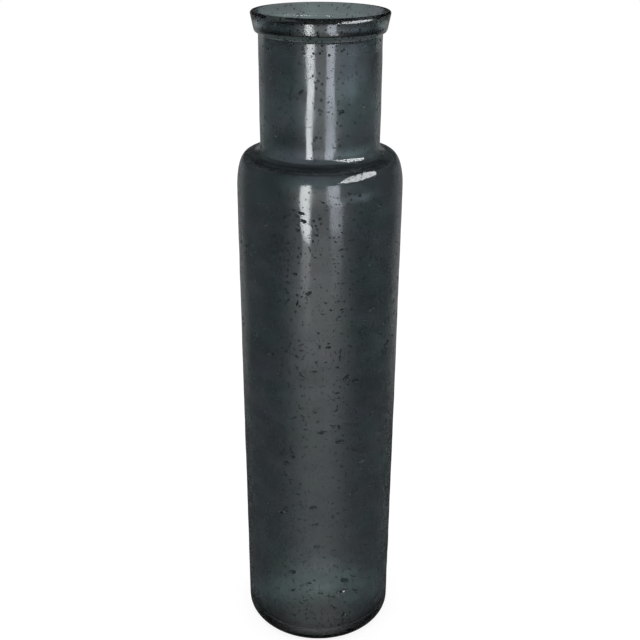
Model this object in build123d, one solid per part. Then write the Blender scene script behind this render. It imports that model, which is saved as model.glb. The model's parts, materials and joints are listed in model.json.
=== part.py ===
from build123d import *
from math import atan2, degrees
import os

# A bottle vase of blown recycled glass, in millimetres. The origin is the centre of the foot on the
# floor, and +Z runs up the axis that the glass is turned about. Two gathers of glass make it: the
# blown vessel, and the lip that is laid on the sheared end of its neck and tooled to a trumpet.
# Each is a half-profile, drawn as (radius, height), that is swept round the axis.

# Heights
total_height = 750.0
lip_height = 21.6
neck_height = 126.4

# Widths outside the glass
neck_diameter = 129.4
shoulder_width = 26.2  # from the neck out to the top of the body's side
body_draft = 1.3  # how much the body's radius narrows on its way down to the heel
lip_overhang = 7.7  # from the neck out to the lip's crest
lip_taper = 3.0  # how far the lip's flank leans in below the crest

# Rounded forms
cove_radius = 11.5  # hollow round between neck and shoulder
shoulder_ledge = 2.2  # flat ring between the cove and the shoulder's round
shoulder_drop = 35.4  # height of the shoulder's elliptical round
heel_radius = 12.0
crest_radius = 2.4

# Glass
wall = 5.0
floor_thickness = 14.0
floor_fillet = 10.0  # between the floor and the wall, inside

# Underside
foot_ring_width = 20.0  # flat ring that the vase stands on
punt_rise = 5.0  # hollow inside the ring

# Radii and heights that follow from these
neck_radius = neck_diameter / 2
bore_radius = neck_radius - wall
body_radius = neck_radius + shoulder_width
heel_outside = body_radius - body_draft
lip_radius = neck_radius + lip_overhang
shoulder_round = shoulder_width - cove_radius - shoulder_ledge
seat_height = total_height - lip_height
shoulder_height = seat_height - neck_height

# Ends of two curves closer than this meet in one point
meeting_gap = 0.001


def turned(*curves):
    """Link the curves of a half-profile in order with straight lines, and sweep it round the axis."""
    gaps = [(curve @ 1, following @ 0) for curve, following in zip(curves, curves[1:] + curves[:1])]
    lines = [Line(start, end) for start, end in gaps if (end - start).length > meeting_gap]
    return revolve(Plane.XZ * make_face([*curves, *lines]), Axis.Z)


def make_vessel():
    """Blown vessel: foot, body, shoulder and neck, with one even wall above a thick floor."""
    ring_outside = heel_outside - heel_radius
    punt = TangentArc((0, punt_rise), (ring_outside - foot_ring_width, 0), tangent=(1, 0))
    heel = CenterArc((ring_outside, heel_radius), heel_radius, -90, 90)

    shoulder_centre = (body_radius - shoulder_round, shoulder_height - shoulder_drop)
    shoulder = EllipticalCenterArc(shoulder_centre, shoulder_round, shoulder_drop)
    shoulder_inside = EllipticalCenterArc(
        shoulder_centre, shoulder_round - wall, shoulder_drop - wall, start_angle=90, arc_size=-90
    )

    cove_centre = (neck_radius + cove_radius, shoulder_height + cove_radius)
    cove = CenterArc(cove_centre, cove_radius, 270, -90)
    cove_inside = CenterArc(cove_centre, cove_radius + wall, 180, 90)
    neck_end = Line((neck_radius, seat_height), (bore_radius, seat_height))

    fillet_centre = (heel_outside - wall - floor_fillet, floor_thickness + floor_fillet)
    floor_corner = CenterArc(fillet_centre, floor_fillet, 0, -90)
    middle = Line((0, floor_thickness), (0, punt_rise))
    return turned(
        punt, heel, shoulder, cove, neck_end, cove_inside, shoulder_inside, floor_corner, middle
    )


def make_lip():
    """Lip ring: seated on the neck's end, rolled out below, with a leaning flank and a round crest."""
    seat = Line((bore_radius, seat_height), (neck_radius, seat_height))
    roll_radius = lip_overhang - lip_taper
    roll_circle = CenterArc((neck_radius, seat_height + roll_radius), roll_radius, -90, 90)
    crest_centre = Vector(lip_radius - crest_radius, total_height - crest_radius)
    crest_circle = CenterArc(crest_centre, crest_radius, -90, 180)
    flank = ConstrainedLines(roll_circle, crest_circle).edges().sort_by(Axis.X)[-1]

    # The trumpet leaves the bore upright and runs into the crest without a corner, so its circle,
    # centred level with the seat, holds the crest's circle and touches it from inside.
    reach = crest_centre.X - bore_radius
    rise = crest_centre.Y - seat_height
    flare_radius = (reach**2 + rise**2 - crest_radius**2) / (2 * (reach - crest_radius))
    crest_side = degrees(atan2(rise, reach - flare_radius))
    flare_centre = (bore_radius + flare_radius, seat_height)
    flare = CenterArc(flare_centre, flare_radius, crest_side, 180 - crest_side)

    lower, upper = sorted([flank @ 0, flank @ 1], key=lambda end: end.Y)
    roll = TangentArc(seat @ 1, lower, tangent=(1, 0))
    crest = TangentArc(upper, flare @ 0, tangent=upper - lower)
    return turned(seat, roll, crest, flare)


os.makedirs("parts", exist_ok=True)
for node, piece in {"vessel": make_vessel(), "lip_ring": make_lip()}.items():
    export_step(piece, f"parts/{node}.step")
    print(f"{node}: {piece.volume / 1000:.1f} cm3, {piece.bounding_box().size}")
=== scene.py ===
# %% [markdown]
# # A bottle vase of dark seeded glass
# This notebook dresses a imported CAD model, the frame, in Blender. The vase is one skin of glass: a turned
# wall with a thick floor, a collar-like lip, and thousands of seeds, the bubbles and pits that recycled
# glass is full of. The frame gives the main sizes, in metres, so that the form isn't drawn by eye.

# %% Load the frame
import json
from math import atan2, cos, pi, radians, sin, tan

import bpy
from mathutils import Euler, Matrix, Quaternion, Vector


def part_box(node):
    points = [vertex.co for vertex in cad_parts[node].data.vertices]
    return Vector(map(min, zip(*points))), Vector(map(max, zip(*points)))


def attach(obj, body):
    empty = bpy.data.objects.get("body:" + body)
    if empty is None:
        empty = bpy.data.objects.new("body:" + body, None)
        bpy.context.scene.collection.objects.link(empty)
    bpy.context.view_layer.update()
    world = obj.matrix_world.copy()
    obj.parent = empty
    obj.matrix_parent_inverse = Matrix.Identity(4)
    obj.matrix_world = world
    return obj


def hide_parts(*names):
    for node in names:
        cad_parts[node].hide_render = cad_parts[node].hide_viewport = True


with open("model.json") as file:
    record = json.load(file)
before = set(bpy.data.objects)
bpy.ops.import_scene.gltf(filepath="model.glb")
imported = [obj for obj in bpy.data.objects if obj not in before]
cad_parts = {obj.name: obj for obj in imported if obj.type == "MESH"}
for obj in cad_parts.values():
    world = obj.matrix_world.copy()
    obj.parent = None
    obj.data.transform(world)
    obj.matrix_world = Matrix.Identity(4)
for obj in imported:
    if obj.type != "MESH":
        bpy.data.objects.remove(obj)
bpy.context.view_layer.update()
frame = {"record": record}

# %% [markdown]
# ## Camera
# The photograph looks down on the vase from close by, so its sides draw together towards the foot. From
# further away, a longer lens would keep them parallel. The camera's height, distance and pitch come from
# fitting the vase's outline, and it is rolled by a quarter degree.

# %% Camera
PICTURE_SIDE = 640  # pixels, of the square picture
FOCAL_PIXELS = 993.3
SENSOR_WIDTH = 36.0  # millimetres
CAMERA_PLACE = (0.0008, -1.0565, 0.8778)
CAMERA_PITCH = radians(24.24)  # below the horizon
CAMERA_ROLL = radians(0.256)

camera_data = bpy.data.cameras.new("camera")
camera_data.sensor_width = SENSOR_WIDTH
camera_data.lens = SENSOR_WIDTH * FOCAL_PIXELS / PICTURE_SIDE
camera = bpy.data.objects.new("camera", camera_data)
camera.location = CAMERA_PLACE
camera.rotation_mode = "QUATERNION"
level_view = Euler((pi / 2 - CAMERA_PITCH, 0, 0)).to_quaternion()
camera.rotation_quaternion = level_view @ Quaternion((0, 0, 1), CAMERA_ROLL)
bpy.context.collection.objects.link(camera)
bpy.context.scene.camera = camera
print(f"lens {camera_data.lens:.2f} mm")

# %% [markdown]
# ## Sums with sockets
# Both shaders and Geometry Nodes are built from sums of sockets. Linking each Math node by hand takes four
# lines a sum, so this small class wraps one socket, and `1 - mask * 0.5` then adds its Math nodes by itself.
# Every other node comes from its one method, `add`.


# %% Sums with sockets
class Wire:
    """One output socket of a node tree, which takes part in Python sums."""

    def __init__(self, socket):
        self.socket = socket
        self.tree = socket.id_data

    @classmethod
    def add(cls, tree, kind, settings=None, sockets=None, output=0):
        """Add a node: its settings first, then values or links for its sockets, by name or place."""
        node = tree.nodes.new(kind)
        for name, value in (settings or {}).items():
            setattr(node, name, value)
        for key, value in (sockets or {}).items():
            socket = node.inputs[key]
            if isinstance(key, str):
                socket = next(s for s in node.inputs if s.name == key and s.enabled)
            for item in value if isinstance(value, list) else [value]:
                if isinstance(item, cls):
                    tree.links.new(item.socket, socket)
                else:
                    socket.default_value = item
        if isinstance(output, str):
            return cls(next(s for s in node.outputs if s.name == output and s.enabled))
        return cls(node.outputs[output])

    def other(self, output):
        """Another output of the same node."""
        return Wire(self.socket.node.outputs[output])

    def math(self, operation, *values):
        """A Math node in the same tree, on numbers or wires."""
        return Wire.add(self.tree, "ShaderNodeMath", {"operation": operation}, dict(enumerate(values)))

    def __add__(self, value):
        return self.math("ADD", self, value)

    def __sub__(self, value):
        return self.math("SUBTRACT", self, value)

    def __rsub__(self, value):
        return self.math("SUBTRACT", value, self)

    def __mul__(self, value):
        return self.math("MULTIPLY", self, value)

    def __rtruediv__(self, value):
        return self.math("DIVIDE", value, self)

    __radd__ = __add__
    __rmul__ = __mul__


print("sums ready")

# %% [markdown]
# ## The half-profile
# A glassblower turns the vase about one axis, so half of its section says everything: out under the foot, up
# the side, over the shoulder, up the neck, round the lip, and back down inside to the floor. The main sizes
# come from the frame; the small rounds repeat the CAD model's own.

# %% Sizes of the glass
vessel_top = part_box("vessel")[1]
lip_low, lip_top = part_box("lip_ring")
bore_mount = next(m for m in frame["record"]["mounts"] if m["name"] == "neck_bore")

TOTAL_HEIGHT = lip_top.z
SEAT_HEIGHT = lip_low.z  # where the lip sits on the neck
BODY_RADIUS = vessel_top.x
LIP_RADIUS = lip_top.x
BORE_RADIUS = bore_mount["dims"]["r_mm"] / 1000
WALL = 0.005
NECK_RADIUS = BORE_RADIUS + WALL
NECK_HEIGHT = 0.1264
COVE_RADIUS = 0.0115
SHOULDER_LEDGE = 0.0022
SHOULDER_DROP = 0.0354
SHOULDER_HEIGHT = SEAT_HEIGHT - NECK_HEIGHT
SHOULDER_ROUND = BODY_RADIUS - NECK_RADIUS - COVE_RADIUS - SHOULDER_LEDGE
BODY_DRAFT = 0.0013
HEEL_OUTSIDE = BODY_RADIUS - BODY_DRAFT
HEEL_RADIUS = 0.012
FLOOR_THICKNESS = 0.014
FLOOR_FILLET = 0.010
FOOT_RING_WIDTH = 0.020
PUNT_RISE = 0.005
print(f"height {TOTAL_HEIGHT:.4f}, body radius {BODY_RADIUS:.4f}, shoulder round {SHOULDER_ROUND:.4f}")


# %% Lines and arcs
def arc(centre, radii, start, end, steps):
    """Points on a circle or ellipse, from one angle to another, in degrees."""
    angles = [radians(start + (end - start) * i / steps) for i in range(steps + 1)]
    return [(centre[0] + radii[0] * cos(a), centre[1] + radii[1] * sin(a)) for a in angles]


def straight(start, end, spacing=None, steps=None):
    """Points along a line, evenly spaced, both ends left out."""
    if spacing:
        steps = max(1, round(max(abs(end[0] - start[0]), abs(end[1] - start[1])) / spacing))
    shares = [i / steps for i in range(1, steps)]
    return [(start[0] + (end[0] - start[0]) * t, start[1] + (end[1] - start[1]) * t) for t in shares]


def linked(runs, spacing):
    """One list of points: each run, then a straight line to the next."""
    points = list(runs[0])
    for run in runs[1:]:
        points += straight(points[-1], run[0], spacing) + run
    return points


def bends(start, angle, turns):
    """Arcs that run on from one another, each (radius, last angle, steps), first facing the angle."""
    points = [start]
    for radius, following, steps in turns:
        x, z = points[-1]
        centre = (x - radius * cos(radians(angle)), z - radius * sin(radians(angle)))
        points += arc(centre, (radius, radius), angle, following, steps)[1:]
        angle = following
    return points


print("a quarter round of four steps:", len(arc((0, 0), (1, 1), 0, 90, 4)), "points")

# %% [markdown]
# ## The lip
# The lip was laid on the neck hot, and tooled. Most of it leans out to a thin crest, as in the CAD model,
# but on the near side the tool pressed it upright, to a belly under a fuller crest. A dent could be pulled
# into a finished mesh; instead both shapes are drawn with the same number of points, so that the lathe can
# blend one into the other. Inside, a straight funnel runs down to the bore.

# %% Lip
ROLL_START = -70  # degrees, where the hollow round to the neck takes over
LIP_TAPER = 0.003
CREST_RADIUS = 0.0024
ROLL_RADIUS = LIP_RADIUS - NECK_RADIUS - LIP_TAPER
FUNNEL_SLOPE = 38  # degrees, from upright
FUNNEL_EDGE = 0.008
BELLY_INSET = 0.0005  # from the lip's widest reach
BELLY_RISE = 0.0110  # above the seat
BELLY_RADIUS = 0.034
BELLY_TURN = 9  # degrees, above and below its middle
BELLY_UNDERSIDE = 50  # degrees, below level
UPPER_RADIUS = 0.012
UPPER_TURN = 20  # degrees
FULL_CREST_RADIUS = 0.0045
UNDERSIDE_INSET = 0.0018  # from the neck


def neck_fillet(end, slope):
    """Hollow round from the neck to the foot of the lip's underside, which leans over by the slope."""
    radius = (end[0] - NECK_RADIUS) / (1 - cos(radians(slope)))
    centre = (NECK_RADIUS + radius, end[1] - radius * sin(radians(slope)))
    return arc(centre, (radius, radius), 180, 180 - slope, 4)


def funnel(top):
    """From the crest's inner side down a cone, and over a soft edge into the bore."""
    slope = radians(FUNNEL_SLOPE)
    cone_end = BORE_RADIUS + FUNNEL_EDGE * (1 - cos(slope))
    cone_foot = top[1] - (top[0] - cone_end) / tan(slope)
    edge = (BORE_RADIUS + FUNNEL_EDGE, cone_foot - FUNNEL_EDGE * sin(slope))
    rounded = arc(edge, (FUNNEL_EDGE, FUNNEL_EDGE), 180 - FUNNEL_SLOPE, 180, 4)
    return straight(top, rounded[0], steps=4) + rounded


def leaning_lip():
    """Most of the lip: fillet, roll, flank that leans out to a thin crest, funnel."""
    lean = atan2(LIP_TAPER, TOTAL_HEIGHT - SEAT_HEIGHT - ROLL_RADIUS - CREST_RADIUS) * 180 / pi
    crest = (LIP_RADIUS - CREST_RADIUS, TOTAL_HEIGHT - CREST_RADIUS)
    roll = (NECK_RADIUS, SEAT_HEIGHT + ROLL_RADIUS)
    under = arc(roll, (ROLL_RADIUS, ROLL_RADIUS), ROLL_START, -lean, 9)
    over = arc(crest, (CREST_RADIUS, CREST_RADIUS), -lean, 180 - FUNNEL_SLOPE, 10)
    flank = straight(under[-1], over[0], steps=12)
    return [neck_fillet(under[0], 90)[:-1], under, flank, over, funnel(over[-1])]


def barrel_lip():
    """Lip on the near side, where a tool pressed it upright: a belly under a full round crest."""
    belly = (LIP_RADIUS - BELLY_INSET, SEAT_HEIGHT + BELLY_RISE)
    below = [(BELLY_RADIUS, -BELLY_TURN, 5), (ROLL_RADIUS, -BELLY_UNDERSIDE, 9)]
    above = [(BELLY_RADIUS, BELLY_TURN, 3), (UPPER_RADIUS, UPPER_TURN, 3)]
    lower = bends(belly, 0, below)[::-1]
    upper = bends(belly, 0, [*above, (FULL_CREST_RADIUS, 180 - FUNNEL_SLOPE, 11)])
    reach = lower[0][0] - NECK_RADIUS - UNDERSIDE_INSET
    foot = (NECK_RADIUS + UNDERSIDE_INSET, lower[0][1] - reach / tan(radians(BELLY_UNDERSIDE)))
    return [neck_fillet(foot, BELLY_UNDERSIDE)[:-1], lower, upper[1:], funnel(upper[-1])]


print("points of the lips:", [sum(map(len, lip)) for lip in (leaning_lip(), barrel_lip())])

# %% Draw the half-profiles
OUTER_SPACING = 0.009
INNER_SPACING = 0.016
NECK_RINGS = 14


def half_profile(lip):
    """(radius, height) from the middle of the punt, round the glass, to the middle of the floor."""
    ring_outside = HEEL_OUTSIDE - HEEL_RADIUS
    ring_inside = ring_outside - FOOT_RING_WIDTH
    punt = (ring_inside**2 + PUNT_RISE**2) / (2 * PUNT_RISE)
    punt_edge = atan2(punt - PUNT_RISE, ring_inside) * 180 / pi
    shoulder = (BODY_RADIUS - SHOULDER_ROUND, SHOULDER_HEIGHT - SHOULDER_DROP)
    cove = (NECK_RADIUS + COVE_RADIUS, SHOULDER_HEIGHT + COVE_RADIUS)
    fillet = (HEEL_OUTSIDE - WALL - FLOOR_FILLET, FLOOR_THICKNESS + FLOOR_FILLET)
    side = [
        arc((0, PUNT_RISE - punt), (punt, punt), 90, punt_edge, 8),
        arc((ring_outside, HEEL_RADIUS), (HEEL_RADIUS, HEEL_RADIUS), -90, 0, 8),
        arc(shoulder, (SHOULDER_ROUND, SHOULDER_DROP), 0, 90, 16),
        arc(cove, (COVE_RADIUS, COVE_RADIUS), 270, 180, 8),
    ]
    cavity = [
        arc(cove, (COVE_RADIUS + WALL, COVE_RADIUS + WALL), 180, 270, 8),
        arc(shoulder, (SHOULDER_ROUND - WALL, SHOULDER_DROP - WALL), 90, 0, 12),
        arc(fillet, (FLOOR_FILLET, FLOOR_FILLET), 0, -90, 8),
        [(0, FLOOR_THICKNESS)],
    ]
    outside = linked(side, OUTER_SPACING)
    neck = straight(outside[-1], lip[0][0], steps=NECK_RINGS)
    mouth = [point for run in lip for point in run]
    neck_inside = straight(mouth[-1], cavity[0][0], steps=NECK_RINGS // 2)
    return [*outside, *neck, *mouth, *neck_inside, *linked(cavity, INNER_SPACING)]


def profile_object(name, points):
    """The half-profile as a line of edges."""
    mesh = bpy.data.meshes.new(name)
    mesh.from_pydata([(r, 0, z) for r, z in points], [(i, i + 1) for i in range(len(points) - 1)], [])
    made = bpy.data.objects.new(name, mesh)
    bpy.context.collection.objects.link(made)
    return made


far_points = half_profile(leaning_lip())
near_points = half_profile(barrel_lip())
far_profile = profile_object("far_profile", far_points)
near_profile = profile_object("near_profile", near_points)
crest_index = max(range(len(far_points)), key=lambda i: far_points[i][1])
print(f"half-profiles of {len(far_points)} and {len(near_points)} points, crest at {crest_index}")

# %% [markdown]
# ## Tint
# Recycled glass is never one colour. The tint drifts between teal and blue-grey, and between light and
# dark, in patches that lie round the vase. Soft masks paint light and shade into it as well: painted light
# where reflections fall, at the shoulder's front, the cove, the right of the neck, the lip's flank and the
# far wall low in the mouth, and painted shade at the heel, in the crease above the shoulder, under the lip,
# in its crest and higher in the mouth. The neck is lighter along its length. A volume would dim the light
# by thickness, but it renders slowly and can't be baked. So the faces of the wall carry the colour and the
# masks.

# %% Masks and clouds
PATCH_SIZE = 0.05
PATCH_SQUASH = (1, 1, 1.8)
STREAK_SIZE = 0.035
DARKEST = 0.55  # shade where the noise of the streaks is 0
STREAK_RANGE = 0.9
TEAL = (0.93, 1.03, 1.0)  # shares of the tint
SLATE = (1.02, 0.985, 1.05)


def ramp(value, start, end, low=0.0, high=1.0):
    """A smooth step from one value to another."""
    return Wire.add(
        value.tree,
        "ShaderNodeMapRange",
        {"interpolation_type": "SMOOTHSTEP"},
        {"Value": value, "From Min": start, "From Max": end, "To Min": low, "To Max": high},
    )


def band(value, start, full, fade, end):
    """A smooth step up to 1, and a smooth step down again."""
    return ramp(value, start, full) * ramp(value, fade, end, 1.0, 0.0)


def clouds(place, size, shift=0.0, detail=2.0, roughness=0.45):
    """Soft noise between about 0.25 and 0.75, moved aside so that each use differs."""
    moved = Wire.add(place.tree, "ShaderNodeVectorMath", {"operation": "ADD"}, {0: place, 1: (shift, 0, 0)})
    sockets = {"Vector": moved, "Scale": 1 / size, "Detail": detail, "Roughness": roughness}
    return Wire.add(place.tree, "ShaderNodeTexNoise", sockets=sockets)


def axes_of(place):
    """The X of a vector; its Y and Z are the node's other outputs."""
    return Wire.add(place.tree, "ShaderNodeSeparateXYZ", sockets={0: place})


def vector(tree, x, y, z):
    """A vector from three numbers or wires."""
    return Wire.add(tree, "ShaderNodeCombineXYZ", sockets={"X": x, "Y": y, "Z": z})


def length_of(place):
    """The length of a vector."""
    return Wire.add(place.tree, "ShaderNodeVectorMath", {"operation": "LENGTH"}, {0: place}, "Value")


print("patches", PATCH_SIZE, "m wide, streaks", STREAK_SIZE, "m")


# %% Painted light and shade
def painted_light_and_shade(place):
    """Pairs of a change and its mask: painted light and a lighter neck raise the shade of the glass, painted
    shade lowers it.

    Masks fade between metres above the ground, the shoulder's ledge or the lip's seat, and between metres
    across the vase or towards the viewer.
    """
    across = axes_of(place)
    near = across.other("Y") * -1
    height = across.other("Z")
    over_ledge = height - SHOULDER_HEIGHT
    over_seat = height - SEAT_HEIGHT
    outwards = length_of(vector(place.tree, across, near, 0.0))
    front = ramp(near, 0.02, 0.04)
    near_half = ramp(near, 0.0, 0.03)
    far_half = ramp(near, 0.0, -0.03)

    # Painted shade: the heel, the crease above the shoulder, under the lip, the lip's crest and high in the
    # mouth. Painted light, where reflections fall: the shoulder's front, the cove, the right of the neck,
    # the lip's flank and the far wall low in the mouth. The neck is lighter along its length.
    heel = ramp(height, 0.018, 0.03, 1.0, 0.0) * ramp(outwards, 0.078, 0.086)
    shoulder = band(over_ledge, -0.024, -0.010, -0.005, -0.001) * ramp(near, 0.072, 0.086)
    crease = band(over_ledge, -0.0014, -0.0002, 0.001, 0.0025) * front
    cove = band(over_ledge, 0.0015, 0.0035, 0.010, 0.023) * ramp(near, 0.015, 0.05)
    neck = band(over_ledge, 0.0, 0.03, 0.058, 0.098)
    neck_right = band(across, 0.005, 0.025, 0.042, 0.055) * front
    neck_right = neck_right * band(over_seat, -0.0734, -0.0284, -0.0064, -0.0014)
    lip_underside = band(over_seat, -0.001, 0.001, 0.006, 0.010) * near_half
    lip_flank = band(over_seat, 0.007, 0.010, 0.013, 0.017) * front
    lip_crest = ramp(over_seat, 0.008, 0.018) * near_half
    throat = band(over_seat, 0.003, 0.006, 0.008, 0.012) * far_half
    mouth = ramp(over_seat, 0.004, 0.008) * far_half
    # The first list is painted light and the lighter neck, the second painted shade.
    thin = [(1.2, shoulder), (1.1, cove), (0.36, neck), (0.6, neck_right), (0.45, lip_flank), (0.2, throat)]
    painted_shade_masks = [(-0.85, heel), (-0.75, crease), (-0.62, lip_underside), (-0.87, lip_crest), (-0.14, mouth)]
    return thin + painted_shade_masks


def drifting_tint_and_painted_light(place, tint):
    """A hue that drifts between teal and blue-grey, and the shade that it is to be scaled by, which carries
    painted light and shade.
    """
    tree = place.tree
    flat = Wire.add(tree, "ShaderNodeVectorMath", {"operation": "MULTIPLY"}, {0: place, 1: PATCH_SQUASH})
    teal, slate = [(*(c * s for c, s in zip(tint, shares)), 1) for shares in (TEAL, SLATE)]
    sockets = {"Factor": ramp(clouds(flat, PATCH_SIZE), 0.35, 0.65), "A": teal, "B": slate}
    hue = Wire.add(tree, "ShaderNodeMix", {"data_type": "RGBA"}, sockets, "Result")
    shade = DARKEST + STREAK_RANGE * clouds(flat, STREAK_SIZE, 5.0)
    # Painted light and painted shade scale the shade of the glass.
    for change, mask in painted_light_and_shade(place):
        shade = shade * (1 + change * mask)
    return hue, shade


print("tint ready")

# %% [markdown]
# ## Finishes
# The outside is fire-polished, with a few duller clouds. The inside is dull from the blowing, so what
# shows through it is soft, but the mouth was heated again and is clearer. Tiny open bubbles speckle the
# outside: they are too small and too many to cut, so a mask of Voronoi cells mixes in a darker glass, which
# is painted shade. The larger ones are cut later, and their hollows get a darker glass all over, painted
# shade too.

# %% Specks
PORE_SPACING = 0.0038
SMALLEST_PORE = 0.2  # shares of the spacing
PORE_RANGE = 0.32
PORE_CROWD = 0.03
FEWEST_PORES = 0.45  # share of the cells that have one where they are sparse
PORE_CORE = 0.6  # share of a pore's width that is quite dark
LOWEST_PORES = (0.015, 0.03)  # heights between which they set in


def pores_of(place):
    """A mask of tiny open bubbles: one in each Voronoi cell, of uneven size, left out here and there."""
    grain = {"Vector": place, "Scale": 1 / PORE_SPACING}
    cells = Wire.add(place.tree, "ShaderNodeTexVoronoi", sockets=grain)
    draw = axes_of(cells.other("Color"))
    width = SMALLEST_PORE + PORE_RANGE * draw.other("Y") * draw.other("Y")
    crowd = ramp(clouds(place, PORE_CROWD, 9.0), 0.4, 0.6, FEWEST_PORES, 1.0)
    above_heel = ramp(axes_of(place).other("Z"), *LOWEST_PORES)
    spot = ramp(cells, width * PORE_CORE, width, 1.0, 0.0)
    return spot * draw.math("LESS_THAN", draw, crowd) * above_heel


print("specks", PORE_SPACING, "m apart")

# %% Glass
SMOKE = (0.134, 0.152, 0.157)  # light left after one wall
FLOOR_TINT = (0.47, 0.58, 0.55)
FLOOR_ROUGHNESS = 0.15
# Darker glass in the seeds' pits and in the specks: painted shade, where bubbles bend the light away.
PIT_PAINTED_SHADE = 0.45
SPECK_PAINTED_SHADE = 0.3
PIT_ROUGHNESS = 0.3
PIT_IOR = 1.12  # low, because a pit sends hardly any light back to the viewer
POLISHED = 0.065  # roughness of the outside
CLOUDED = 0.185
CLOUD_SIZE = 0.04
BLOWN = 0.38  # roughness of the inside
HEATED = 0.1
HEATED_FROM = (0.70, 0.73)  # heights between which the one becomes the other


def bare_material(name):
    """A material with an empty tree, and its output node."""
    material = bpy.data.materials.new(name)
    material.use_nodes = True
    material.node_tree.nodes.clear()
    return material, material.node_tree, material.node_tree.nodes.new("ShaderNodeOutputMaterial")


def glass_shader(hue, shade, roughness, ior):
    """Clear glass whose faces carry the colour."""
    colour = Wire.add(hue.tree, "ShaderNodeVectorMath", {"operation": "SCALE"}, {0: hue, "Scale": shade})
    sockets = {"Base Color": colour, "Roughness": roughness, "IOR": ior, "Transmission Weight": 1.0}
    return Wire.add(hue.tree, "ShaderNodeBsdfPrincipled", sockets=sockets)


def glass_finish(name, tint, roughness, ior=1.5, pores=False):
    """Glass with a drifting tint that carries painted light and shade and, where pores are asked for, dark
    specks of tiny open bubbles, whose darkness is painted shade.
    """
    material, tree, out = bare_material(name)
    place = Wire.add(tree, "ShaderNodeTexCoord", output="Object")
    hue, shade = drifting_tint_and_painted_light(place, tint)
    finish = glass_shader(hue, shade, roughness(place) if callable(roughness) else roughness, ior)
    if pores:
        # The specks' darker glass is painted shade.
        speck = glass_shader(hue, SPECK_PAINTED_SHADE * shade, PIT_ROUGHNESS, PIT_IOR)
        finish = Wire.add(tree, "ShaderNodeMixShader", sockets={0: pores_of(place), 1: finish, 2: speck})
    tree.links.new(finish.socket, out.inputs["Surface"])
    return material


def polish(place):
    """Roughness of the outside: fire-polished, with a few duller clouds."""
    return ramp(clouds(place, CLOUD_SIZE, 13.0), 0.4, 0.7, POLISHED, CLOUDED)


def draw_marks(place):
    """Roughness of the inside: dull from the blowing, but polished where the mouth was heated again."""
    return ramp(axes_of(place).other("Z"), *HEATED_FROM, BLOWN, HEATED)


outer_glass = glass_finish("seeded_smoke_glass", SMOKE, polish, pores=True)
inner_glass = glass_finish("inside_smoke_glass", SMOKE, draw_marks)
floor_glass = glass_finish("floor_smoke_glass", FLOOR_TINT, FLOOR_ROUGHNESS)
# The pits' darker glass is painted shade.
pit_glass_painted_shade = glass_finish("seed_glass_painted_shade", tuple(PIT_PAINTED_SHADE * c for c in SMOKE), PIT_ROUGHNESS, PIT_IOR)
print("finishes:", [m.name for m in bpy.data.materials])

# %% [markdown]
# ## Turning the glass
# Blender's Screw modifier could turn the profile, but the lip's near side differs from the rest. A lathe
# of Geometry Nodes can blend two profiles: it is a grid, with one side along the profile and the other
# round the axis. Blown glass is never quite round, so slow waves move the outside by a fraction of a
# millimetre and the inside by more. They die down at the foot and at the lip, which tools have trued.


# %% Parts of the lathe
def new_tree(name, inputs):
    """An empty Geometry Nodes tree with named inputs, each (name, socket type)."""
    tree = bpy.data.node_groups.new(name, "GeometryNodeTree")
    tree.interface.new_socket("Geometry", in_out="OUTPUT", socket_type="NodeSocketGeometry")
    for label, kind in [("Geometry", "NodeSocketGeometry"), *inputs]:
        tree.interface.new_socket(label, in_out="INPUT", socket_type=kind)
    group_in = tree.nodes.new("NodeGroupInput")
    return tree, {s.name: Wire(s) for s in group_in.outputs if s.name}


def hand_out(tree, geometry):
    """Realize the instances and hand the result out of the tree."""
    realized = Wire.add(tree, "GeometryNodeRealizeInstances", sockets={"Geometry": geometry})
    group_out = tree.nodes.new("NodeGroupOutput")
    tree.links.new(realized.socket, group_out.inputs["Geometry"])


def waves(place, length, shift):
    """Slow waves between about -0.5 and 0.5."""
    return clouds(place, length, shift, detail=1.0, roughness=0.4) - 0.5


def profile_line(profile):
    """The edges of a profile object."""
    return Wire.add(profile.tree, "GeometryNodeObjectInfo", sockets={"Object": profile}, output="Geometry")


def profile_point(line, place, ring):
    """The point of a profile that a ring of the grid is turned from."""
    return Wire.add(
        line.tree,
        "GeometryNodeSampleIndex",
        {"data_type": "FLOAT_VECTOR", "domain": "POINT"},
        {"Geometry": line, "Value": place, "Index": ring},
    )


def coated(geometry, material, selection=True):
    """The geometry, with a material on the selected faces."""
    sockets = {"Geometry": geometry, "Selection": selection, "Material": material}
    return Wire.add(geometry.tree, "GeometryNodeSetMaterial", sockets=sockets)


print("parts of the lathe ready")

# %% The lathe
MEETING_GAP = 1e-5  # points closer than this become one, which closes the seam and the poles
WAVES_START = (0.02, 0.06)  # heights between which the waves rise
WAVES_END = (TOTAL_HEIGHT - 0.03, TOTAL_HEIGHT - 0.005)  # and between which they sink
LIP_WAVES = 0.3  # share of them that is left at the lip
INNER_STRETCH = 1.4  # the waves inside are this much longer
BARREL_REACH = (0.15, 0.75)  # sines of the turn between which the leaning lip becomes the upright one
RING_TOP = 0.0003  # height that the foot ring stays under
FLOOR_EDGE = 0.006  # up the fillet round the floor


def floor_faces(place):
    """Picks the level faces low down, on the floor and under it, but not on the foot ring."""
    level = axes_of(place).other("Z")
    upright = axes_of(Wire.add(place.tree, "GeometryNodeInputNormal")).other("Z")
    flat = upright.math("ABSOLUTE", upright)
    low = level.math("LESS_THAN", level, FLOOR_THICKNESS + FLOOR_EDGE)
    return flat.math("GREATER_THAN", flat, 0.5) * low * level.math("GREATER_THAN", level, RING_TOP)


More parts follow.
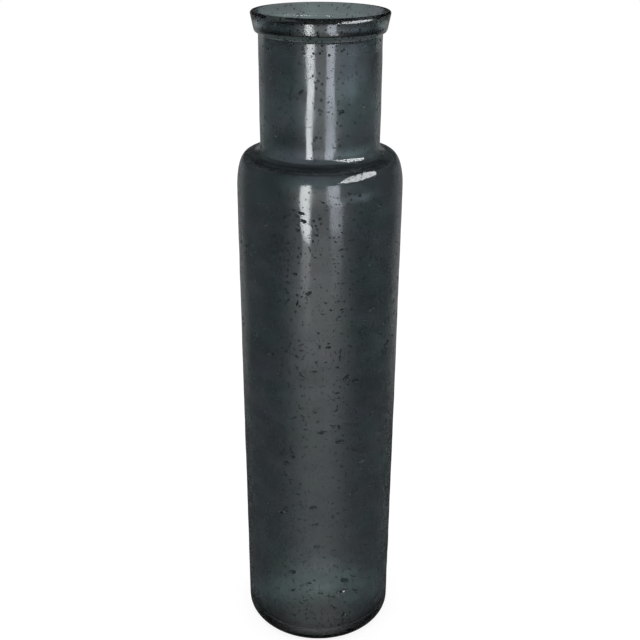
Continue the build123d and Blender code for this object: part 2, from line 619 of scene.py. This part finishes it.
def lathe_tree():
    """Turn the two profiles into one closed skin, and coat its outside, inside and floor."""
    objects = ["Far profile", "Near profile"]
    counts = ["Segments", "Inside from"]
    lengths = ["Outer wave", "Inner wave", "Wave length"]
    materials = ["Outside", "Inside", "Floor"]
    kinds = {"Object": objects, "Int": counts, "Float": lengths, "Material": materials}
    inputs = [(label, "NodeSocket" + kind) for kind, labels in kinds.items() for label in labels]
    tree, given = new_tree("lathe", inputs)

    # A flat grid, and where each of its points goes
    far_line = profile_line(given["Far profile"])
    near_line = profile_line(given["Near profile"])
    count = Wire.add(tree, "GeometryNodeAttributeDomainSize", {"component": "MESH"}, {"Geometry": far_line})
    size = {"Size X": 1.0, "Size Y": 1.0, "Vertices X": given["Segments"] + 1, "Vertices Y": count}
    grid = Wire.add(tree, "GeometryNodeMeshGrid", sockets=size)
    place = Wire.add(tree, "GeometryNodeInputPosition")
    across = axes_of(place)
    turn = (across + 0.5) * (2 * pi)
    along = (across.other("Y") + 0.5) * (count - 1)
    ring = along.math("ROUND", along)
    north = turn.math("SINE", turn)
    east = turn.math("COSINE", turn)
    blend = {
        "Factor": ramp(north * -1, *BARREL_REACH),
        "A": profile_point(far_line, place, ring),
        "B": profile_point(near_line, place, ring),
    }
    drawn = axes_of(Wire.add(tree, "ShaderNodeMix", {"data_type": "VECTOR"}, blend, "Result"))
    height = drawn.other("Z")

    # Waves, and the turned skin
    spot = vector(tree, drawn * east, drawn * north, height)
    inside = ring.math("GREATER_THAN", ring, given["Inside from"])
    free = ramp(height, *WAVES_START) * ramp(height, *WAVES_END, 1.0, LIP_WAVES)
    outer = waves(spot, given["Wave length"], 0.0) * given["Outer wave"]
    inner = waves(spot, given["Wave length"] * INNER_STRETCH, 7.0) * given["Inner wave"]
    radius = drawn + free * (outer * (1 - inside) + inner * inside)
    marked = Wire.add(
        tree,
        "GeometryNodeStoreNamedAttribute",
        {"data_type": "FLOAT", "domain": "POINT"},
        {"Geometry": grid, "Name": "inside", "Value": inside},
    )
    moved = vector(tree, radius * east, radius * north, height)
    turned = Wire.add(tree, "GeometryNodeSetPosition", sockets={"Geometry": marked, "Position": moved})
    merging = {"Geometry": turned, "Distance": MEETING_GAP}
    closed = Wire.add(tree, "GeometryNodeMergeByDistance", sockets=merging)
    smooth = Wire.add(tree, "GeometryNodeSetShadeSmooth", sockets={"Geometry": closed})

    # Coats
    mark = Wire.add(tree, "GeometryNodeInputNamedAttribute", {"data_type": "FLOAT"}, {"Name": "inside"})
    outside = coated(smooth, given["Outside"])
    lined = coated(outside, given["Inside"], mark.math("GREATER_THAN", mark, 0.5))
    hand_out(tree, coated(lined, given["Floor"], floor_faces(place)))
    return tree


lathe = lathe_tree()
print("lathe of", len(lathe.nodes), "nodes")

# %% [markdown]
# ## Seeds
# Bubbles that rose to the skin burst and left open pits, drawn out round the vase as the glass was turned.
# A bump in the finish would do from afar, but a real pit bends the light that comes through it. So points
# are scattered on the outside, in crowds, each gets a small ellipsoid laid along the skin, and all of them
# are cut out of the wall at once.

# %% Cutters for the seeds
LEAST_FACING = 0.03  # how much of a point's own radius lies along its normal, in metres
CROWD_SIZE = 0.03
CROWDING = (0.3, 1.7)  # shares of the density, between crowds and in them
MOST_TILT = 0.6  # slope of a seed's long axis
TILT_RADIUS = 0.09  # where the slope is as drawn
WIDTHS = (0.3, 0.55)  # shares of the length
LEAST_WIDTH = 0.0004
DEPTH = 0.35  # share of the width
LEAST_DEPTH = 0.0002
LIFT = 0.3  # share of the depth by which a seed's middle stands clear of the skin
LOW_STRETCH = 1.3  # seeds near the foot are longer
HIGH_STRETCH = 0.7  # and above the shoulder shorter


def chance(tree, seed, low=0.0, high=1.0):
    """A random number for each point."""
    sockets = {"Min": low, "Max": high, "Seed": seed}
    return Wire.add(tree, "FunctionNodeRandomValue", {"data_type": "FLOAT"}, sockets, "Value")


def scattered(given, density, seed):
    """Points on the faces that look outwards, in crowds."""
    skin = given["Geometry"]
    place = Wire.add(skin.tree, "GeometryNodeInputPosition")
    across = axes_of(place)
    dot = {
        0: Wire.add(skin.tree, "GeometryNodeInputNormal"),
        1: vector(skin.tree, across, across.other("Y"), 0.0),
    }
    facing = Wire.add(skin.tree, "ShaderNodeVectorMath", {"operation": "DOT_PRODUCT"}, dot, "Value")
    crowd = ramp(waves(place, CROWD_SIZE, 3.0), -0.15, 0.2, *CROWDING)
    sockets = {
        "Mesh": skin,
        "Selection": facing.math("GREATER_THAN", facing, LEAST_FACING),
        "Density": density * crowd,
        "Seed": given["Seed"] + seed,
    }
    settings = {"distribute_method": "RANDOM"}
    return Wire.add(skin.tree, "GeometryNodeDistributePointsOnFaces", settings, sockets)


def cutters(given, density, lengths, seed, detail):
    """Ellipsoids on the outside of the skin, drawn out round the axis and tilted a little."""
    points = scattered(given, density, seed)
    tree = points.tree
    normal = points.other("Normal")
    across = axes_of(Wire.add(tree, "GeometryNodeInputPosition"))
    height = across.other("Z")
    tilt = chance(tree, seed + 1, -MOST_TILT, MOST_TILT) * TILT_RADIUS
    along = vector(tree, across.other("Y") * -1, across, tilt)
    turned = Wire.add(
        tree,
        "FunctionNodeAxesToRotation",
        {"primary_axis": "Z", "secondary_axis": "X"},
        {"Primary Axis": normal, "Secondary Axis": along},
    )
    shortest, longest = lengths
    draw = chance(tree, seed + 2)
    length = shortest + draw * draw * draw * (longest - shortest)
    length = length * ramp(height, 0.05, 0.3, LOW_STRETCH, 1.0)
    length = length * ramp(height, SHOULDER_HEIGHT - 0.15, SHOULDER_HEIGHT, 1.0, HIGH_STRETCH)
    width = length * chance(tree, seed + 3, *WIDTHS) + LEAST_WIDTH
    depth = width * DEPTH + LEAST_DEPTH
    ball = Wire.add(tree, "GeometryNodeMeshIcoSphere", sockets={"Radius": 0.5, "Subdivisions": detail})
    smooth = Wire.add(tree, "GeometryNodeSetShadeSmooth", sockets={"Geometry": ball})
    lift = {0: normal, "Scale": depth * LIFT}
    lift = Wire.add(tree, "ShaderNodeVectorMath", {"operation": "SCALE"}, lift)
    sockets = {
        "Points": Wire.add(tree, "GeometryNodeSetPosition", sockets={"Geometry": points, "Offset": lift}),
        "Instance": coated(smooth, given["Material"]),
        "Rotation": turned,
        "Scale": vector(tree, length, width, depth * 2),
    }
    return Wire.add(tree, "GeometryNodeInstanceOnPoints", sockets=sockets)


print("cutters ready")

# %% Cut the seeds
LONG_SEEDS = (0.003, 0.013)
SHORT_SEEDS = (0.0013, 0.003)


def seeds_tree():
    """Cut long and short seeds out of the skin."""
    densities = ["Long density", "Short density"]
    inputs = [*((label, "NodeSocketFloat") for label in densities), ("Seed", "NodeSocketInt")]
    tree, given = new_tree("seeds", [*inputs, ("Material", "NodeSocketMaterial")])
    long_ones = cutters(given, given["Long density"], LONG_SEEDS, seed=10, detail=2)
    short_ones = cutters(given, given["Short density"], SHORT_SEEDS, seed=20, detail=1)
    joined = Wire.add(tree, "GeometryNodeJoinGeometry", sockets={"Geometry": [long_ones, short_ones]})
    whole = Wire.add(tree, "GeometryNodeRealizeInstances", sockets={"Geometry": joined})
    settings = {"operation": "DIFFERENCE", "solver": "MANIFOLD"}
    meshes = {"Mesh 1": given["Geometry"], "Mesh 2": whole}
    hand_out(tree, Wire.add(tree, "GeometryNodeMeshBoolean", settings, meshes))
    return tree


seeds = seeds_tree()
print("seeds of", len(seeds.nodes), "nodes")

# %% [markdown]
# ## The vase
# Both trees work on an empty mesh, the lathe first. The modifiers could stay live, but the export wants a
# plain mesh, so the result becomes one and the profiles are thrown away. Edges as sharp as a seed's rim
# stay sharp; the rest is smooth. The hot joint leaves no seam, so this one piece stands for both of the
# CAD model's.


# %% Grow the vase
def grown(name, trees):
    """A plain mesh object from a stack of trees, each with values for its named inputs."""
    start = bpy.data.objects.new(name + "_start", bpy.data.meshes.new(name + "_start"))
    bpy.context.collection.objects.link(start)
    for tree, values in trees:
        modifier = start.modifiers.new(tree.name, "NODES")
        modifier.node_group = tree
        sockets = {s.name: s.identifier for s in tree.interface.items_tree if s.in_out == "INPUT"}
        for label, value in values.items():
            modifier[sockets[label]] = value
    depsgraph = bpy.context.evaluated_depsgraph_get()
    mesh = bpy.data.meshes.new_from_object(start.evaluated_get(depsgraph), depsgraph=depsgraph)
    mesh.name = name
    bpy.data.objects.remove(start)
    made = bpy.data.objects.new(name, mesh)
    bpy.context.collection.objects.link(made)
    return made


SHARP_ANGLE = radians(28)
turning = {
    "Far profile": far_profile,
    "Near profile": near_profile,
    "Segments": 144,
    "Inside from": crest_index,
    "Outer wave": 0.0012,
    "Inner wave": 0.003,
    "Wave length": 0.035,
    "Outside": outer_glass,
    "Inside": inner_glass,
    "Floor": floor_glass,
}
seeding = {"Long density": 1700.0, "Short density": 6000.0, "Seed": 11, "Material": pit_glass_painted_shade}
vase = grown("vase_glass", [(lathe, turning), (seeds, seeding)])
bpy.data.objects.remove(far_profile)
bpy.data.objects.remove(near_profile)
vase.data.set_sharp_from_angle(angle=SHARP_ANGLE)
vase.data.materials.pop(index=0)  # the grid's own empty slot
triangles = sum(len(p.vertices) - 2 for p in vase.data.polygons)
print(f"{vase.name}: {len(vase.data.polygons)} faces, {triangles} triangles")
shares = [sum(p.material_index == i for p in vase.data.polygons) for i in range(len(vase.data.materials))]
print("faces by finish:", dict(zip([m.name for m in vase.data.materials], shares)))
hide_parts("vessel", "lip_ring")
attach(vase, "root")

# %% [markdown]
# ## Paper
# The vase stands on white paper that fills the view. Lamps could light it, but each lamp would then change
# it as well as the glass. So the paper glows by itself for the camera. Through the glass it carries a
# painted
# shadow of the vase: it is white under the far side of the foot, dim under the near side and in a ring round
# the foot, and white again beyond.

# %% Paper
PAPER_SIDE = 8.0
FLOOR_GAP = 0.0004  # a film of air under the foot, so that the glass keeps its own underside
PAPER_GLOW = 0.84
PAPER_GREY = (0.22, 0.22, 0.22, 1)


def sheet(name, corners, material):
    """A flat stage piece."""
    mesh = bpy.data.meshes.new(name)
    mesh.from_pydata(corners, [], [tuple(range(len(corners)))])
    mesh.materials.append(material)
    made = bpy.data.objects.new(name, mesh)
    bpy.context.collection.objects.link(made)
    return made


def paper_finish():
    """White for the camera, with a painted shadow round the foot for what comes through the glass."""
    material, tree, out = bare_material("paper")
    seen = Wire.add(tree, "ShaderNodeLightPath", output="Is Camera Ray")
    through = seen.other("Is Transmission Ray")
    place = Wire.add(tree, "ShaderNodeTexCoord", output="Object")
    reach = length_of(place)
    # Painted shadow of the vase, seen through the glass: dim round the foot and under its near side.
    under = ramp(reach, 0.086, 0.098, 1.0, 0.15) * ramp(axes_of(place).other("Y"), -0.03, 0.015, 0.2, 1.0)
    beyond = ramp(reach, 0.085, 0.11)
    strength = seen * PAPER_GLOW + through * under.math("MAXIMUM", under, beyond)
    glow = Wire.add(tree, "ShaderNodeEmission", sockets={"Strength": strength})
    matt = Wire.add(tree, "ShaderNodeBsdfDiffuse", sockets={"Color": PAPER_GREY})
    both = Wire.add(tree, "ShaderNodeAddShader", sockets={0: glow, 1: matt})
    tree.links.new(both.socket, out.inputs["Surface"])
    return material


half = PAPER_SIDE / 2
corners = [(-half, -half), (half, -half), (half, half), (-half, half)]
floor = sheet("floor", [(x, y, -FLOOR_GAP) for x, y in corners], paper_finish())
floor.visible_glossy = False
print("paper", PAPER_SIDE, "m wide")

# %% [markdown]
# ## Studio
# Glass looks like what is round it. Lamps and walls could be built as objects, but a world that shades each
# direction is quicker to tune. What comes through the glass sees an even white room, dim overhead. What
# bounces off it sees a darker studio: a pale wall ahead in steps of height, a little light from behind, and
# a blue wash on the right. In Cycles a refracted ray may count as glossy too, so a reflection is a ray that
# is glossy and not transmitted.

# %% World
WALL_STEPS = [  # where a step starts and ends, as sines of the elevation, and the change in brightness
    (-0.82, -0.65, 0.8),
    (-0.62, -0.42, 0.45),
    (-0.5, -0.41, 0.4),
    (-0.36, -0.29, -0.5),
    (-0.29, -0.2, 0.6),
    (0.06, 0.3, -1.6),
]
STUDIO_FILL = 0.03
WASH_BLUE = (0.68, 0.86, 1, 1)
WHITE = (1, 1, 1, 1)

world = bpy.data.worlds.new("studio")
bpy.context.scene.world = world
world.use_nodes = True
sky = world.node_tree
sky.nodes.clear()
sideways = axes_of(Wire.add(sky, "ShaderNodeTexCoord", output="Generated"))
ahead = sideways.other("Y") * -1
rise = sideways.other("Z")  # sine of the elevation
bearing = sideways.math("ARCTAN2", sideways, ahead) * (180 / pi)  # degrees to the right of the viewer

# Wall ahead
aside = sideways.math("ABSOLUTE", sideways)
level = sum(ramp(rise, start, end, 0.0, change) for start, end, change in WALL_STEPS)
wall = ramp(aside, 0.15, 0.88, 1.0, 0.0) * ramp(ahead, -0.1, 0.25) * level

# Light from behind
off_front = bearing.math("ABSOLUTE", bearing)
behind = ramp(off_front, 116, 140, 0.0, 0.2) * band(rise, -0.53, -0.4, -0.05, 0.12)

# Blue wash on the right
wash = ramp(bearing, 8, 26, 0.0, 0.55) + ramp(bearing, 30, 62, 0.0, 0.4)
wash = wash * ramp(bearing, 58, 80, 1.0, 0.35) * ramp(bearing, 66, 104, 1.0, 0.0)
wash = wash * ramp(rise, -0.34, -0.12, 0.0, 1.9) * ramp(rise, -0.16, -0.03, 1.0, 0.25)
wash = wash * ramp(rise, 0.1, 0.4, 1.0, 0.0)

# Reflections, and the rest
glossy = Wire.add(sky, "ShaderNodeLightPath", output="Is Glossy Ray")
through = glossy.other("Is Transmission Ray")
reflected = glossy * (1 - through)
overhead = through * ramp(rise, 0.45, 0.75, 0.0, 0.9)
strength = reflected * (wall + behind + STUDIO_FILL) + (1 - reflected) * (1 - overhead)
room = Wire.add(sky, "ShaderNodeBackground", sockets={"Strength": strength, "Color": WHITE})
blue = Wire.add(sky, "ShaderNodeBackground", sockets={"Strength": reflected * wash, "Color": WASH_BLUE})
both = Wire.add(sky, "ShaderNodeAddShader", sockets={0: room, 1: blue})
sky.links.new(both.socket, sky.nodes.new("ShaderNodeOutputWorld").inputs["Surface"])
print("world of", len(sky.nodes), "nodes")

# %% [markdown]
# ## Windows and lamp
# Two tall windows in front show as two strips in the glass, and a softbox overhead on the right as a glint
# on each round edge. Area lamps could do it, with hard edges. A glowing sheet can fade towards its edges
# and its foot, and it can be kept to reflections, so that it lights nothing else.

# %% Windows
WINDOW_DISTANCE = 1.3
WINDOW_TOP = 0.97
WINDOW_FOOT = -0.12  # the paper takes no part in reflections, so the windows may reach below it
WINDOW_SOFTNESS = 0.1
LEAN = (0.36, 0.24)  # heights between which a window may lean outwards
FADE_DEPTH = 0.06
FADED = 0.13  # share of the brightness that is left below the fade


def only_reflected(made):
    """Hide a stage piece from all but reflections."""
    made.visible_camera = False
    made.visible_diffuse = False
    made.visible_transmission = False
    made.visible_shadow = False


def lamp_sheet(name, corners, radiance, tint, shape=None):
    """A glowing sheet that shows only in reflections."""
    material, tree, out = bare_material(name)
    strength = radiance
    if shape:
        place = Wire.add(tree, "ShaderNodeTexCoord", output="Object")
        strength = shape(axes_of(place)) * radiance
    glow = Wire.add(tree, "ShaderNodeEmission", sockets={"Color": (*tint, 1), "Strength": strength})
    clear = Wire.add(tree, "ShaderNodeBsdfTransparent")
    both = Wire.add(tree, "ShaderNodeAddShader", sockets={0: glow, 1: clear})
    tree.links.new(both.socket, out.inputs["Surface"])
    only_reflected(sheet(name, corners, material))
    print(f"{name}: radiance {radiance}")


def window(name, inner, outer, foot_shift, fade, radiance, tint):
    """A tall window with soft edges, which fades towards its foot and may lean outwards there."""
    y = -WINDOW_DISTANCE
    soft = WINDOW_SOFTNESS if outer > inner else -WINDOW_SOFTNESS
    far = outer + foot_shift
    corners = [(inner, y, WINDOW_FOOT), (far, y, WINDOW_FOOT), (far, y, WINDOW_TOP), (inner, y, WINDOW_TOP)]

    def shape(across):
        height = across.other("Z")
        moved = across - ramp(height, *LEAN, 0.0, foot_shift)
        sides = ramp(moved, inner, inner + soft) * ramp(moved, outer, outer - soft)
        foot = ramp(height, WINDOW_FOOT, WINDOW_FOOT + WINDOW_SOFTNESS)
        return sides * ramp(height, fade - FADE_DEPTH, fade, FADED, 1.0) * foot

    lamp_sheet(name, corners, radiance, tint, shape)


LEFT = {"inner": -0.235, "outer": -0.635, "foot_shift": 0.0, "fade": 0.1, "radiance": 13.4}
RIGHT = {"inner": 0.185, "outer": 0.665, "foot_shift": 0.13, "fade": 0.15, "radiance": 6.1}
window("left_window", tint=(0.95, 0.99, 1.0), **LEFT)
window("right_window", tint=(0.82, 0.89, 1.0), **RIGHT)

# %% Softbox
SOFTBOX_DISTANCE = 1.2
SOFTBOX_PLACE = (0.03, -0.06, SHOULDER_HEIGHT)  # where on the shoulder its directions start
SOFTBOX_AIM = (62, 30)  # degrees to the right of the viewer's side, and degrees up
SOFTBOX_EDGE = [(24, 20), (58, 18), (92, 21), (99, 32), (86, 45), (63, 45), (39, 34)]


def toward(azimuth, elevation):
    """A direction: degrees to the right of the viewer's side, and degrees up."""
    a = radians(azimuth)
    e = radians(elevation)
    return Vector((sin(a) * cos(e), -cos(a) * cos(e), sin(e)))


aim = toward(*SOFTBOX_AIM)
outline = [toward(*corner) for corner in SOFTBOX_EDGE]
corners = [Vector(SOFTBOX_PLACE) + way * (SOFTBOX_DISTANCE / way.dot(aim)) for way in outline]
lamp_sheet("softbox", corners, radiance=12.0, tint=(0.96, 0.98, 1.0))

# %% [markdown]
# ## Black card
# Studios keep a lamp off part of an object with black card. This one stands beside the mouth, so that the
# softbox doesn't glint inside the lip. A duller lip would hide the glint too, but the strips with it. Only
# reflections meet the card, so it casts no shadow.

# %% Black card
CARD_PLACE = 0.1  # to the right of the axis
CARD_EDGE = [(0.13, 0.758), (-0.015, 0.758), (-0.09, 0.8), (-0.15, 0.84), (-0.15, 0.98), (0.13, 1.0)]

black, tree, out = bare_material("black_card")
dark = Wire.add(tree, "ShaderNodeEmission", sockets={"Strength": 0.0})
tree.links.new(dark.socket, out.inputs["Surface"])
only_reflected(sheet("black_card", [(CARD_PLACE, y, z) for y, z in CARD_EDGE], black))
bpy.context.scene.view_settings.view_transform = "Standard"
